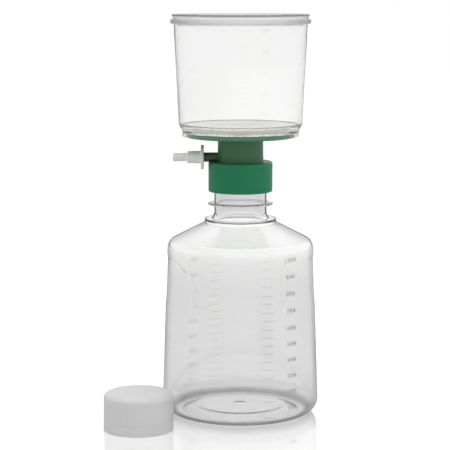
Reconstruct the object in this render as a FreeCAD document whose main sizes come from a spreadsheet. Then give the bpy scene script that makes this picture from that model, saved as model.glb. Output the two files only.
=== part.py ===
import FreeCAD, Part

import math
import os
import re

import Sketcher

# Vacuum filtration unit: a clear funnel with a lid, a membrane on a drained plate, a green
# neck adapter with a side arm, and a clear receiver bottle with its storage cap beside it.
# Millimetres, +Z up. The bottle's axis is Z, its foot stands on Z = 0, the side arm points
# to -X and the front is -Y.

SIZES = {
    # receiver bottle
    "body_base_radius": (63.4, "body wall carried down to the foot"),
    "body_top_radius": (58.6, "body wall carried up to the shoulder"),
    "body_height": (139.9, "height of the corner between body and shoulder"),
    "base_corner": (12.0, "rounding of the bottom edge"),
    "shoulder_round": (9.0, "rounding between body and shoulder"),
    "shoulder_angle": (27.4, "slope of the shoulder, degrees"),
    "bottle_wall": (1.6, "wall of the blown body"),
    "foot_flat": (4.5, "foot ring, inside the bottom edge's rounding"),
    "pushup_run": (11.5, "foot ring in to the flat middle of the raised bottom"),
    "pushup_height": (4.5, "rise of the raised bottom"),
    "gate_radius": (3.0, "dimple at the middle of the bottom"),
    "gate_depth": (0.8, "depth of that dimple"),
    "neck_radius": (21.0, "outside of the neck, under the thread"),
    "neck_height": (41.6, "bead to rim"),
    "neck_wall": (2.2, "wall of the neck"),
    "bead_reach": (7.8, "bead where shoulder and neck meet, beyond the neck"),
    "bead_thick": (3.0, "height of the bead"),
    "flare_reach": (2.0, "foot of the neck on the bead, beyond the neck"),
    "flare_height": (4.2, "height over which the neck narrows"),
    "ring_reach": (5.1, "transfer ring, beyond the neck"),
    "ring_height": (11.0, "bead to transfer ring"),
    "ring_thick": (1.8, "thickness of the transfer ring"),
    "grip_side": (11.0, "side of the body in to the edge of a hand grip"),
    "grip_drop": (11.5, "shoulder down to the top of the hand grips"),
    "grip_tall": (40.9, "height of the hand grips"),
    "grip_depth": (0.6, "depth of the hand grips"),
    "grip_thumb_round": (25.0, "large corner of a hand grip"),
    "grip_corner_round": (8.0, "small corners of a hand grip"),
    "grip_turn": (2.75, "turn of the bottle in its thread, degrees"),
    # neck adapter: collar, column, side arm and disc in one moulding
    "thread_gap": (1.45, "room between neck and collar for their threads"),
    "collar_wall": (3.25, "wall of the collar"),
    "collar_height": (24.0, "height of the collar"),
    "collar_roof": (2.6, "thickness of the collar's roof"),
    "collar_round": (1.5, "rounding of the collar's top edge"),
    "gasket_thick": (1.5, "neck gasket"),
    "gasket_inset": (1.8, "how far the gasket reaches into the mouth"),
    "column_step": (7.6, "outside of the collar in to the column"),
    "column_wall": (2.6, "wall of the column"),
    "column_height": (23.8, "collar to disc at the column"),
    "disc_thick": (4.2, "edge of the disc that carries the membrane plate"),
    "disc_round": (2.4, "rounding from the column out to the disc"),
    "arm_radius": (3.8, "outside of the side arm"),
    "arm_bore": (2.5, "bore of the side arm"),
    "arm_reach": (29.4, "axis to the end of the side arm"),
    "arm_sink": (0.4, "how far the side arm runs into the collar's roof"),
    # hose adapter in the side arm, and the plug behind it
    "push_clearance": (0.05, "play of what is pushed into the side arm"),
    "stem_length": (7.7, "stem inside the side arm"),
    "hose_bore": (1.5, "bore of the hose adapter"),
    "flange_radius": (9.8, "flange of the hose adapter"),
    "flange_thick": (2.4, "thickness of that flange"),
    "wide_step_radius": (4.9, "step for the wider hose"),
    "wide_step_length": (10.6, "length of that step"),
    "thin_step_radius": (3.5, "step for the narrower hose"),
    "thin_step_length": (11.7, "length of that step"),
    "plug_length": (5.5, "porous plug in the side arm"),
    # membrane and its drained plate
    "membrane_radius": (45.0, "membrane"),
    "membrane_thick": (0.3, "membrane"),
    "plate_margin": (1.6, "plate beyond the membrane"),
    "plate_thick": (4.7, "plate above the disc"),
    "plate_rim": (0.6, "straight side of the plate above the disc"),
    "plate_flare": (2.1, "how much wider the plate's top is than that side"),
    "plate_skirt": (3.4, "rim of the plate, down past the disc's top"),
    "skirt_wall": (2.9, "wall of that rim"),
    "skirt_gap": (0.3, "play between disc and rim"),
    "spout_radius": (5.8, "outside of the drip spout"),
    "spout_bore": (3.6, "bore of the drip spout"),
    "spout_length": (30.8, "drip spout below the plate"),
    "drain_depth": (2.6, "depth of the drain channels"),
    "drain_inset": (1.0, "funnel's opening in to the outermost channel"),
    "drain_rings": (6, "number of ring channels"),
    "drain_width": (3.4, "width of a ring channel"),
    "drain_pitch": (6.0, "spacing of the ring channels"),
    "drain_spokes": (8, "number of channels that run inwards"),
    "spoke_width": (2.4, "width of those channels"),
    # funnel
    "funnel_wall": (1.8, "wall of the funnel"),
    "funnel_height": (83.6, "height of the funnel"),
    "funnel_taper": (3.85, "how much wider the funnel's top is than its ledge"),
    "ledge_taper": (0.6, "how much wider the ledge is than the plate's top"),
    "ledge_height": (1.1, "height of the tapered ledge at the bottom"),
    "ledge_reach": (3.5, "ledge over the membrane's edge"),
    "ledge_thick": (1.0, "ledge at its inner edge"),
    "lip_reach": (1.1, "bead round the funnel's top, beyond its wall"),
    "lip_thick": (1.7, "height of that bead"),
    # funnel lid
    "lid_clearance": (0.3, "play between lid and funnel"),
    "lid_wall": (1.2, "wall of the lid"),
    "lid_skirt": (2.2, "skirt below the funnel's top"),
    "lid_step": (1.0, "shelf from the skirt up to the band"),
    "lid_height": (5.0, "funnel's top to the lid's top"),
    "lid_band_inset": (1.85, "lid's skirt in to its recessed band"),
    "lid_rim_inset": (1.1, "lid's skirt in to its raised rim"),
    "lid_rim_thick": (1.7, "height of that rim"),
    "lid_panel_drop": (1.2, "rim down to the lid's panel"),
    "lid_plug_depth": (3.6, "ring that drops into the funnel"),
    # storage cap, standing open end down in front of the bottle
    "cap_left": (80.0, "bottle axis to cap axis, along -X"),
    "cap_front": (61.0, "bottle axis to cap axis, along -Y"),
    "cap_room": (1.65, "between the cap's two walls"),
    "cap_draft": (0.3, "how much narrower the top is"),
    "cap_height": (29.6, "height of the cap"),
    "cap_round": (4.5, "rounding of the top edge"),
    "cap_wall": (1.6, "walls of the cap"),
    "cap_thread_lift": (8.0, "open end to the threaded inner wall"),
    "cap_seal_depth": (3.8, "sealing ring under the top"),
    "cap_line_height": (8.4, "line round the cap"),
    "cap_line_depth": (0.3, "depth of that line"),
}

document = FreeCAD.newDocument("vacuum_filtration_unit")


def fill_sheet():
    """Write every driving size to a sheet, with its name as the cell's alias."""
    table = document.addObject("Spreadsheet::Sheet", "Sizes")
    for row, (name, (number, meaning)) in enumerate(SIZES.items(), start=1):
        table.set(f"A{row}", meaning)
        table.set(f"B{row}", str(number))
        table.setAlias(f"B{row}", name)
    document.recompute()
    return table


sheet = fill_sheet()


def formula(text):
    """Turn 'neck_radius + 1' into the expression 'Sizes.neck_radius + 1'."""
    return re.sub(r"[a-z_]+", lambda word: "Sizes." * (word[0] in SIZES) + word[0], text)


def size(text):
    """The present value of a formula, as a number."""
    return float(sheet.evalExpression(formula(text)))


# Radii and heights that several features share, as formulas.
FOOT_RADIUS = "(body_base_radius - base_corner - foot_flat)"
PUSHUP_RADIUS = f"({FOOT_RADIUS} - pushup_run)"
GRIP_HIGH = "(body_height - grip_drop)"
GRIP_LOW = f"({GRIP_HIGH} - grip_tall)"
MOUTH_RADIUS = "(neck_radius - neck_wall)"
FLARE_RADIUS = "(neck_radius + flare_reach)"
BEAD_RADIUS = "(neck_radius + bead_reach)"
THREAD_BORE = "(neck_radius + thread_gap)"
COLLAR_RADIUS = f"({THREAD_BORE} + collar_wall)"
COLUMN_RADIUS = f"({COLLAR_RADIUS} - column_step)"
PLATE_RADIUS = "(membrane_radius + plate_margin)"
DISC_RADIUS = f"({PLATE_RADIUS} - skirt_wall - skirt_gap)"
LEDGE_RADIUS = "(membrane_radius - ledge_reach)"
DRAIN_RADIUS = f"({LEDGE_RADIUS} - drain_inset)"
PLATE_TOP_RADIUS = f"({PLATE_RADIUS} + plate_flare)"
FUNNEL_LOW_RADIUS = f"({PLATE_TOP_RADIUS} + ledge_taper)"
FUNNEL_TOP_RADIUS = f"({FUNNEL_LOW_RADIUS} + funnel_taper)"
CAP_RADIUS = f"({THREAD_BORE} + 2 * cap_wall + cap_room)"
BEAD_LOW = f"(body_height + (body_top_radius - {BEAD_RADIUS}) * tan(shoulder_angle))"
BEAD_TOP = f"({BEAD_LOW} + bead_thick)"
RING_LOW = f"({BEAD_TOP} + ring_height)"
RIM = f"({BEAD_TOP} + neck_height)"
ROOF_LOW = f"({RIM} + gasket_thick)"
COLLAR_TOP = f"({ROOF_LOW} + collar_roof)"
COLLAR_LOW = f"({COLLAR_TOP} - collar_height)"
DISC_TOP = f"({COLLAR_TOP} + column_height)"
ARM_HEIGHT = f"({COLLAR_TOP} + arm_radius - arm_sink)"
PLATE_TOP = f"({DISC_TOP} + plate_thick)"
FUNNEL_TOP = f"({PLATE_TOP} + funnel_height)"
STEM_RADIUS = "(arm_bore - push_clearance)"
STEM_END = "(arm_reach - stem_length)"


# ---------------------------------------------------------------- sketch and feature helpers

def new_body(label):
    """An empty PartDesign body with its label."""
    body = document.addObject("PartDesign::Body", label)
    body.Label = label
    return body


def new_sketch(body, name, plane="XZ_Plane"):
    """A sketch on one of the body's own origin planes."""
    sketch = body.newObject("Sketcher::SketchObject", name)
    support = [item for item in body.Origin.OriginFeatures if item.Role == plane][0]
    sketch.AttachmentSupport = [(support, "")]
    sketch.MapMode = "FlatFace"
    return sketch


def bind(sketch, constraint, text):
    """Add a dimension to a sketch and tie it to a formula of the sheet."""
    number = sketch.addConstraint(Sketcher.Constraint(*constraint, size(text)))
    if re.search("[a-z]", text):
        sketch.setExpression(f"Constraints[{number}]", formula(text))


def place_point(sketch, geometry, across, up):
    """Hold the first point of a geometry at two formulas, counted from the sketch's origin."""
    bind(sketch, ("DistanceX", -1, 1, geometry, 1), across)
    bind(sketch, ("DistanceY", -1, 1, geometry, 1), up)


def corner_arc(before, here, after, radius):
    """Where a rounding of a corner starts and ends, and its arc."""
    back = (before - here).normalize()
    ahead = (after - here).normalize()
    half_angle = back.getAngle(ahead) / 2
    entry = here + back * (radius / math.tan(half_angle))
    leave = here + ahead * (radius / math.tan(half_angle))
    centre = here + (back + ahead).normalize() * (radius / math.sin(half_angle))
    turns_left = back.cross(ahead).z < 0
    first, last = (entry, leave) if turns_left else (leave, entry)
    angles = [math.atan2(point.y - centre.y, point.x - centre.x) for point in (first, last)]
    circle = Part.Circle(centre, FreeCAD.Vector(0, 0, 1), radius)
    return entry, leave, Part.ArcOfCircle(circle, *angles), turns_left


def draw_outline(sketch, corners):
    """Draw a closed outline in a sketch.

    Each corner is (across, up) or (across, up, rounding), all formulas of the sheet. A
    rounded corner keeps its sharp point as construction geometry, which holds the size.
    """
    places = [FreeCAD.Vector(size(corner[0]), size(corner[1]), 0) for corner in corners]
    rounded = {}
    for index, corner in enumerate(corners):
        if len(corner) == 3:
            after = places[(index + 1) % len(places)]
            rounded[index] = corner_arc(places[index - 1], places[index], after, size(corner[2]))
    lines = []
    for index, here in enumerate(places):
        following = (index + 1) % len(places)
        start = rounded[index][1] if index in rounded else here
        end = rounded[following][0] if following in rounded else places[following]
        lines.append(sketch.addGeometry(Part.LineSegment(start, end)))
    for index, corner in enumerate(corners):
        incoming, outgoing = lines[index - 1], lines[index]
        if index not in rounded:
            sketch.addConstraint(Sketcher.Constraint("Coincident", incoming, 2, outgoing, 1))
            place_point(sketch, outgoing, corner[0], corner[1])
            continue
        shape, turns_left = rounded[index][2:]
        arc = sketch.addGeometry(shape)
        point = sketch.addGeometry(Part.Point(places[index]), True)
        entry_end, leave_end = (1, 2) if turns_left else (2, 1)
        place_point(sketch, point, corner[0], corner[1])
        sketch.addConstraint([
            Sketcher.Constraint("PointOnObject", point, 1, incoming),
            Sketcher.Constraint("PointOnObject", point, 1, outgoing),
            Sketcher.Constraint("Tangent", incoming, 2, arc, entry_end),
            Sketcher.Constraint("Tangent", outgoing, 1, arc, leave_end),
        ])
        bind(sketch, ("Radius", arc), corner[2])


def turned(body, name, corners, cut=False, axis="V_Axis", lift=None):
    """Turn an outline in the XZ plane about an axis, as added or removed material.

    With lift, the outline is drawn about that height and counts outwards along -X.
    """
    sketch = new_sketch(body, name + "_outline")
    if lift:
        sketch.AttachmentOffset = FreeCAD.Placement(
            FreeCAD.Vector(0, size(lift), 0), FreeCAD.Rotation(FreeCAD.Vector(0, 1, 0), 180))
        sketch.setExpression("AttachmentOffset.Base.y", formula(lift))
    draw_outline(sketch, corners)
    feature = body.newObject("PartDesign::Groove" if cut else "PartDesign::Revolution", name)
    feature.Profile = sketch
    feature.ReferenceAxis = (sketch, [axis])
    feature.Angle = 360
    sketch.Visibility = False
    return feature


def pad(body, name, sketch, length, backwards=False):
    """Pad a sketch by a formula's length."""
    feature = body.newObject("PartDesign::Pad", name)
    feature.Profile = sketch
    feature.Reversed = backwards
    feature.setExpression("Length", formula(length))
    return feature


def pocket(body, name, sketch, depth, backwards=False):
    """Pocket a sketch by a formula's depth."""
    feature = body.newObject("PartDesign::Pocket", name)
    feature.Profile = sketch
    feature.Reversed = backwards
    feature.setExpression("Length", formula(depth))
    return feature


def polar(body, name, feature, count):
    """Repeat a feature round the body's own Z axis."""
    pattern = body.newObject("PartDesign::PolarPattern", name)
    pattern.Originals = [feature]
    axis = [item for item in body.Origin.OriginFeatures if item.Role == "Z_Axis"][0]
    pattern.Axis = (axis, [""])
    pattern.Angle = 360
    pattern.setExpression("Occurrences", formula(count))
    body.Tip = pattern
    return pattern


def cut_away(label, base, tool):
    """Take one object's shape away from another's."""
    result = document.addObject("Part::Cut", label)
    result.Label = label
    result.Base = base
    result.Tool = tool
    return result


# ---------------------------------------------------------------- receiver bottle

def body_radius_at(height, inset):
    """Formula for the radius of the tapered body wall at a height, less an inset."""
    taper = "(body_base_radius - body_top_radius) / body_height"
    return f"(body_base_radius - {taper} * ({height}) - ({inset}))"


def grip_tool(label, growth, inset):
    """Two opposite blocks, outside the body wall by an inset, shaped like the hand grips.

    The grips are not mirror images: turning the bottle half round brings one onto the other,
    so either hand finds the large thumb corner.
    """
    body = new_body(label)
    sketch = new_sketch(body, label + "_outline", "YZ_Plane")
    sketch.AttachmentOffset = FreeCAD.Placement(
        FreeCAD.Vector(0, 0, 0), FreeCAD.Rotation(FreeCAD.Vector(0, 1, 0), -size("grip_turn")))
    half = f"body_top_radius - grip_side + {growth}"
    low, high = f"{GRIP_LOW} - {growth}", f"{GRIP_HIGH} + {growth}"
    small, large = f"grip_corner_round + {growth}", f"grip_thumb_round + {growth}"
    draw_outline(sketch, [
        (f"-({half})", low, small),
        (half, low, small),
        (half, high, large),
        (f"-({half})", high, small),
    ])
    block = pad(body, label + "_block", sketch, "2 * body_base_radius")
    polar(body, label + "_pair", block, "2")
    reach = "2 * grip_depth"
    turned(body, label + "_core", [
        ("0", f"{low} - {reach}"),
        (body_radius_at(f"{low} - {reach}", inset), f"{low} - {reach}"),
        (body_radius_at(f"{high} + {reach}", inset), f"{high} + {reach}"),
        ("0", f"{high} + {reach}"),
    ], cut=True)
    return body


def make_receiver_bottle():
    """Blown bottle: foot ring, raised bottom, tapered body, cone shoulder, threaded neck."""
    edge = "ring_thick / 4"
    bead_foot, bead_edge = "0.7 * bead_thick", "0.2 * bead_thick"
    outside = new_body("bottle_outside")
    turned(outside, "bottle_form", [
        ("0", "pushup_height + gate_depth"),
        ("gate_radius", "pushup_height + gate_depth"),
        ("2 * gate_radius", "pushup_height"),
        (PUSHUP_RADIUS, "pushup_height", "2 * bottle_wall"),
        (FOOT_RADIUS, "0", "bottle_wall"),
        ("body_base_radius", "0", "base_corner"),
        ("body_top_radius", "body_height", "shoulder_round"),
        (BEAD_RADIUS, BEAD_LOW, bead_foot),
        (BEAD_RADIUS, BEAD_TOP, bead_edge),
        (FLARE_RADIUS, BEAD_TOP),
        ("neck_radius", f"{BEAD_TOP} + flare_height", "flare_height / 2"),
        ("neck_radius", RING_LOW),
        ("neck_radius + ring_reach", f"{RING_LOW} + {edge}", edge),
        ("neck_radius + ring_reach", f"{RING_LOW} + ring_thick - {edge}", edge),
        ("neck_radius", f"{RING_LOW} + ring_thick"),
        ("neck_radius", RIM, "gasket_thick / 3"),
        ("0", RIM),
    ])
    formed = cut_away("bottle_gripped", outside, grip_tool("grip_recess", "0", "grip_depth"))

    slope = "(1 - sin(shoulder_angle)) / cos(shoulder_angle)"
    bead_inner = f"({BEAD_RADIUS} - bottle_wall)"
    bead_floor = (f"(body_height + (body_top_radius - {bead_inner}) * tan(shoulder_angle)"
                  " - bottle_wall / cos(shoulder_angle))")
    bead_roof = f"{BEAD_TOP} - bottle_wall"
    hollow = new_body("bottle_hollow")
    turned(hollow, "hollow_form", [
        ("0", "pushup_height + gate_depth + bottle_wall"),
        ("2 * gate_radius", "pushup_height + bottle_wall"),
        (PUSHUP_RADIUS, "pushup_height + bottle_wall", "2 * bottle_wall"),
        (FOOT_RADIUS, "bottle_wall", "bottle_wall"),
        ("body_base_radius - bottle_wall", "bottle_wall", "base_corner - bottle_wall"),
        ("body_top_radius - bottle_wall", f"body_height - bottle_wall * {slope}",
         "shoulder_round - bottle_wall"),
        (bead_inner, bead_floor, bead_foot),
        (bead_inner, bead_roof, bead_edge),
        (f"{FLARE_RADIUS} - bottle_wall", bead_roof, bead_edge),
        (MOUTH_RADIUS, f"{BEAD_TOP} + flare_height", "flare_height / 2"),
        (MOUTH_RADIUS, f"{RIM} + gasket_thick"),
        ("0", f"{RIM} + gasket_thick"),
    ])
    inner_grip = grip_tool("grip_bulge", "bottle_wall", "grip_depth + bottle_wall")
    cavity = cut_away("bottle_cavity", hollow, inner_grip)
    return cut_away("receiver_bottle", formed, cavity)


# ---------------------------------------------------------------- neck adapter and its seal

def make_neck_gasket():
    """Flat ring between the bottle's rim and the collar's roof."""
    body = new_body("neck_gasket")
    inner = f"{MOUTH_RADIUS} - gasket_inset"
    outer = f"{THREAD_BORE} - skirt_gap"
    turned(body, "gasket_ring", [
        (inner, RIM),
        (outer, RIM),
        (outer, ROOF_LOW),
        (inner, ROOF_LOW),
    ])
    return body


def make_neck_adapter():
    """Collar, hollow column, disc and side arm, moulded in one."""
    body = new_body("neck_adapter")
    disc_low = f"{DISC_TOP} - disc_thick"
    turned(body, "adapter_form", [
        ("0", COLLAR_LOW),
        (COLLAR_RADIUS, COLLAR_LOW, "collar_round / 2"),
        (COLLAR_RADIUS, COLLAR_TOP, "collar_round"),
        (f"{COLUMN_RADIUS} + skirt_gap", COLLAR_TOP),
        (COLUMN_RADIUS, f"{disc_low} - disc_round / 2", "disc_round"),
        (DISC_RADIUS, disc_low, "disc_round / 4"),
        (DISC_RADIUS, DISC_TOP),
        ("0", DISC_TOP),
    ])
    arm = new_sketch(body, "arm_outline", "YZ_Plane")
    round_outline(arm, "0", ARM_HEIGHT, "arm_radius")
    pad(body, "side_arm", arm, "arm_reach", backwards=True)
    chamber = f"{COLUMN_RADIUS} - column_wall"
    roof = f"{DISC_TOP} - disc_thick"
    hole = "spout_radius + skirt_gap"
    turned(body, "adapter_bore", [
        ("0", f"{COLLAR_LOW} - collar_round"),
        (THREAD_BORE, f"{COLLAR_LOW} - collar_round"),
        (THREAD_BORE, ROOF_LOW),
        (chamber, ROOF_LOW),
        (chamber, roof, "column_wall"),
        (hole, roof),
        (hole, f"{DISC_TOP} + collar_round"),
        ("0", f"{DISC_TOP} + collar_round"),
    ], cut=True)
    bore = new_sketch(body, "arm_bore_outline", "YZ_Plane")
    round_outline(bore, "0", ARM_HEIGHT, "arm_bore")
    pocket(body, "side_arm_bore", bore, "arm_reach + collar_round")
    return body


def round_outline(sketch, across, up, radius):
    """Draw a circle in a sketch, held by formulas."""
    place = FreeCAD.Vector(size(across), size(up), 0)
    circle = sketch.addGeometry(Part.Circle(place, FreeCAD.Vector(0, 0, 1), size(radius)))
    bind(sketch, ("DistanceX", -1, 1, circle, 3), across)
    bind(sketch, ("DistanceY", -1, 1, circle, 3), up)
    bind(sketch, ("Radius", circle), radius)


def make_tube_adapter():
    """Stepped hose adapter with a flange, its stem pushed into the side arm."""
    body = new_body("tube_adapter")
    face = "arm_reach"
    flange_end = f"{face} + flange_thick"
    wide_end = f"{flange_end} + wide_step_length"
    tip = f"{wide_end} + thin_step_length"
    soft = "flange_thick / 6"
    turned(body, "hose_steps", [
        (STEM_END, "hose_bore"),
        (STEM_END, STEM_RADIUS, soft),
        (face, STEM_RADIUS),
        (face, "flange_radius", soft),
        (flange_end, "flange_radius", soft),
        (flange_end, "wide_step_radius", soft),
        (wide_end, "wide_step_radius", soft),
        (f"{wide_end} + {soft}", "thin_step_radius"),
        (tip, "thin_step_radius", "2 * " + soft),
        (tip, "hose_bore"),
    ], axis="H_Axis", lift=ARM_HEIGHT)
    return body


def make_side_arm_plug():
    """Porous plug that keeps the vacuum line's dirt out of the bottle."""
    plug = document.addObject("Part::Cylinder", "side_arm_plug")
    plug.Label = "side_arm_plug"
    plug.setExpression("Radius", formula(STEM_RADIUS))
    plug.setExpression("Height", formula("plug_length"))
    plug.Placement.Rotation = FreeCAD.Rotation(FreeCAD.Vector(0, 1, 0), 90)
    plug.setExpression("Placement.Base.x", formula(f"-{STEM_END}"))
    plug.setExpression("Placement.Base.z", formula(ARM_HEIGHT))
    return plug


# ---------------------------------------------------------------- membrane and its plate

def make_membrane_support():
    """Clear plate under the membrane: ring and spoke channels that drain to a spout."""
    body = new_body("membrane_support")
    skirt_low = f"{DISC_TOP} - plate_skirt"
    spout_low = f"{DISC_TOP} - spout_length"
    turned(body, "plate_form", [
        ("spout_bore", PLATE_TOP),
        ("spout_bore", spout_low),
        ("spout_radius", spout_low, "skirt_gap"),
        ("spout_radius", DISC_TOP),
        (f"{DISC_RADIUS} + skirt_gap", DISC_TOP),
        (f"{DISC_RADIUS} + skirt_gap", skirt_low),
        (PLATE_RADIUS, skirt_low, "plate_skirt / 4"),
        (PLATE_RADIUS, f"{DISC_TOP} + plate_rim"),
        (PLATE_TOP_RADIUS, PLATE_TOP),
    ])
    floor = f"{PLATE_TOP} - drain_depth"
    above = f"{PLATE_TOP} + drain_depth"
    for ring in range(int(size("drain_rings"))):
        outer = f"{DRAIN_RADIUS} - {ring} * drain_pitch"
        turned(body, f"ring_channel_{ring}", [
            (f"{outer} - drain_width", floor),
            (outer, floor),
            (outer, above),
            (f"{outer} - drain_width", above),
        ], cut=True)
    spoke = new_sketch(body, "spoke_outline", "YZ_Plane")
    draw_outline(spoke, [
        ("-spoke_width / 2", floor),
        ("spoke_width / 2", floor),
        ("spoke_width / 2", above),
        ("-spoke_width / 2", above),
    ])
    channel = pocket(body, "spoke_channel", spoke, f"{DRAIN_RADIUS} - drain_width / 2", True)
    polar(body, "spoke_channels", channel, "drain_spokes")
    return body


def make_filter_membrane():
    """Membrane disc clamped between the plate and the funnel's ledge."""
    disc = document.addObject("Part::Cylinder", "filter_membrane")
    disc.Label = "filter_membrane"
    disc.setExpression("Radius", formula("membrane_radius"))
    disc.setExpression("Height", formula("membrane_thick"))
    disc.setExpression("Placement.Base.z", formula(PLATE_TOP))
    return disc


# ---------------------------------------------------------------- funnel and lid

def make_funnel():
    """Tapered clear funnel with a bead at the top and a clamping ledge at the bottom."""
    body = new_body("funnel")
    ledge = f"{PLATE_TOP} + ledge_height"
    pocket_roof = f"{PLATE_TOP} + membrane_thick"
    lip = f"{FUNNEL_TOP_RADIUS} + lip_reach"
    soft = "lip_thick / 4"
    turned(body, "funnel_form", [
        (PLATE_TOP_RADIUS, PLATE_TOP),
        (FUNNEL_LOW_RADIUS, ledge, soft),
        (FUNNEL_TOP_RADIUS, f"{FUNNEL_TOP} - lip_thick"),
        (lip, f"{FUNNEL_TOP} - lip_thick", soft),
        (lip, FUNNEL_TOP, soft),
        (f"{FUNNEL_TOP_RADIUS} - funnel_wall", FUNNEL_TOP, soft),
        (f"{FUNNEL_LOW_RADIUS} - funnel_wall", ledge, "ledge_height"),
        (LEDGE_RADIUS, f"{PLATE_TOP} + ledge_thick"),
        (LEDGE_RADIUS, pocket_roof),
        ("membrane_radius + skirt_gap", pocket_roof),
        ("membrane_radius + skirt_gap", PLATE_TOP),
    ])
    return body


def make_funnel_lid():
    """Thin lid: skirt over the funnel's bead, plug ring inside it, raised rim on top."""
    body = new_body("funnel_lid")
    skirt_inner = f"({FUNNEL_TOP_RADIUS} + lip_reach + lid_clearance)"
    skirt_outer = f"({skirt_inner} + lid_wall)"
    band = f"{skirt_outer} - lid_band_inset"
    rim = f"{skirt_outer} - lid_rim_inset"
    plug_outer = f"({FUNNEL_TOP_RADIUS} - funnel_wall - 1.5 * lid_clearance)"
    lid_top = f"({FUNNEL_TOP} + lid_height)"
    rim_low = f"({lid_top} - lid_rim_thick)"
    panel = f"({lid_top} - lid_panel_drop)"
    soft = "lid_wall / 4"
    turned(body, "lid_form", [
        ("0", panel),
        ("0", f"{panel} - lid_wall"),
        (f"{plug_outer} - lid_wall", f"{panel} - lid_wall", soft),
        (f"{plug_outer} - lid_wall", f"{FUNNEL_TOP} - lid_plug_depth", soft),
        (plug_outer, f"{FUNNEL_TOP} - lid_plug_depth", soft),
        (plug_outer, FUNNEL_TOP),
        (skirt_inner, FUNNEL_TOP),
        (skirt_inner, f"{FUNNEL_TOP} - lid_skirt"),
        (skirt_outer, f"{FUNNEL_TOP} - lid_skirt", soft),
        (skirt_outer, f"{FUNNEL_TOP} + lid_step", soft),
        (band, f"{FUNNEL_TOP} + lid_step"),
        (band, rim_low),
        (rim, rim_low, soft),
        (rim, lid_top, soft),
        (f"{rim} - lid_wall", lid_top, soft),
        (f"{rim} - 2 * lid_wall", panel),
    ])
    return body


# ---------------------------------------------------------------- storage cap

def make_storage_cap():
    """Double-walled bottle cap, standing on its open end in front of the bottle."""
    body = new_body("storage_cap")
    top_under = "(cap_height - cap_wall)"
    seal = f"({MOUTH_RADIUS} - skirt_gap)"
    line = "cap_draft * cap_line_height / cap_height"
    shell_top = "(cap_height - cap_round)"
    turned(body, "cap_form", [
        (f"{CAP_RADIUS} - cap_wall", "0"),
        (CAP_RADIUS, "0", "cap_wall / 5"),
        (f"{CAP_RADIUS} - {line}", "cap_line_height - cap_line_depth"),
        (f"{CAP_RADIUS} - {line} - cap_line_depth", "cap_line_height"),
        (f"{CAP_RADIUS} - {line}", "cap_line_height + cap_line_depth"),
        (f"{CAP_RADIUS} - cap_draft", "cap_height", "cap_round"),
        ("0", "cap_height"),
        ("0", top_under),
        (f"{seal} - cap_wall", top_under),
        (f"{seal} - cap_wall", f"{top_under} - cap_seal_depth", "cap_wall / 4"),
        (seal, f"{top_under} - cap_seal_depth", "cap_wall / 4"),
        (seal, top_under),
        (THREAD_BORE, top_under),
        (THREAD_BORE, "cap_thread_lift", "cap_wall / 4"),
        (f"{THREAD_BORE} + cap_wall", "cap_thread_lift", "cap_wall / 4"),
        (f"{THREAD_BORE} + cap_wall", shell_top),
        (f"{CAP_RADIUS} - cap_draft - cap_wall", shell_top),
    ])
    body.setExpression("Placement.Base.x", formula("-cap_left"))
    body.setExpression("Placement.Base.y", formula("-cap_front"))
    return body


# ---------------------------------------------------------------- build, check and write

def failed_objects():
    """Objects of the document that could not be worked out."""
    return [item.Label for item in document.Objects
            if {"Invalid", "Error"} & set(item.State)]


def write_parts(parts):
    """Check each sub-part's shape and write it under its own name."""
    os.makedirs("parts", exist_ok=True)
    broken = failed_objects()
    for part in parts:
        if part.Shape.isNull() or not part.Shape.isValid() or not part.Shape.Solids:
            broken.append(part.Label)
    if broken:
        raise RuntimeError("not built: " + ", ".join(broken))
    for part in parts:
        part.Shape.exportStep(f"parts/{part.Label}.step")
        box = part.Shape.BoundBox
        print(f"{part.Label}: {len(part.Shape.Solids)} solid, {part.Shape.Volume / 1000:.2f} cm3, "
              f"z {box.ZMin:.1f} to {box.ZMax:.1f}")


parts = [
    make_receiver_bottle(),
    make_neck_gasket(),
    make_neck_adapter(),
    make_tube_adapter(),
    make_side_arm_plug(),
    make_membrane_support(),
    make_filter_membrane(),
    make_funnel(),
    make_funnel_lid(),
    make_storage_cap(),
]
document.recompute()
write_parts(parts)
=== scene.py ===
import math

import bpy
import numpy as np
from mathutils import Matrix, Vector


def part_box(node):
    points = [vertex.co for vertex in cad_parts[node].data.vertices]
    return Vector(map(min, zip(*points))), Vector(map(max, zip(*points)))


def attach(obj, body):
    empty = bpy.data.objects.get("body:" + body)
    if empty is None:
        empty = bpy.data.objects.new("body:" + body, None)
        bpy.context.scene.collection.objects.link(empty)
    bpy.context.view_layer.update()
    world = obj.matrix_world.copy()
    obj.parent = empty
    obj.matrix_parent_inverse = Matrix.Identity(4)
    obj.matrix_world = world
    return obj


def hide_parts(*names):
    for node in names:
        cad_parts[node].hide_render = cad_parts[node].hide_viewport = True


# Vacuum filtration unit: a lidded clear funnel over a white membrane, a green neck adapter
# with a white hose fitting, a clear bottle and its white cap. Sizes are in millimetres and
# become metres where a mesh is made. The bottle's axis is Z and the front is -Y.

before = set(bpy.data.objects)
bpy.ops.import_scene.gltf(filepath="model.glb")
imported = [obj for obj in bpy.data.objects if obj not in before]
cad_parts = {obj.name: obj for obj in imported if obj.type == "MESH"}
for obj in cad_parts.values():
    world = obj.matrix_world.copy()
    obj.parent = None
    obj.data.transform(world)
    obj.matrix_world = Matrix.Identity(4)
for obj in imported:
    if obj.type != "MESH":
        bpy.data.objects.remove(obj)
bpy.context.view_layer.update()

MM = 0.001
TOUCH = 1e-6

# Rounded corners take a point every ARC_STEP, or half as many up to SMALL_ARC in radius.
ARC_STEP = math.radians(9)
SMALL_ARC = 0.6
SMOOTH_ANGLE = math.radians(32)

# Steps round a full turn, of the bottle, of other wide pieces, and of thin ones.
BOTTLE_STEPS = 420
ROUND_STEPS = 288
SMALL_STEPS = 96


# ---------------------------------------------------------------- sizes that pieces share

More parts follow.
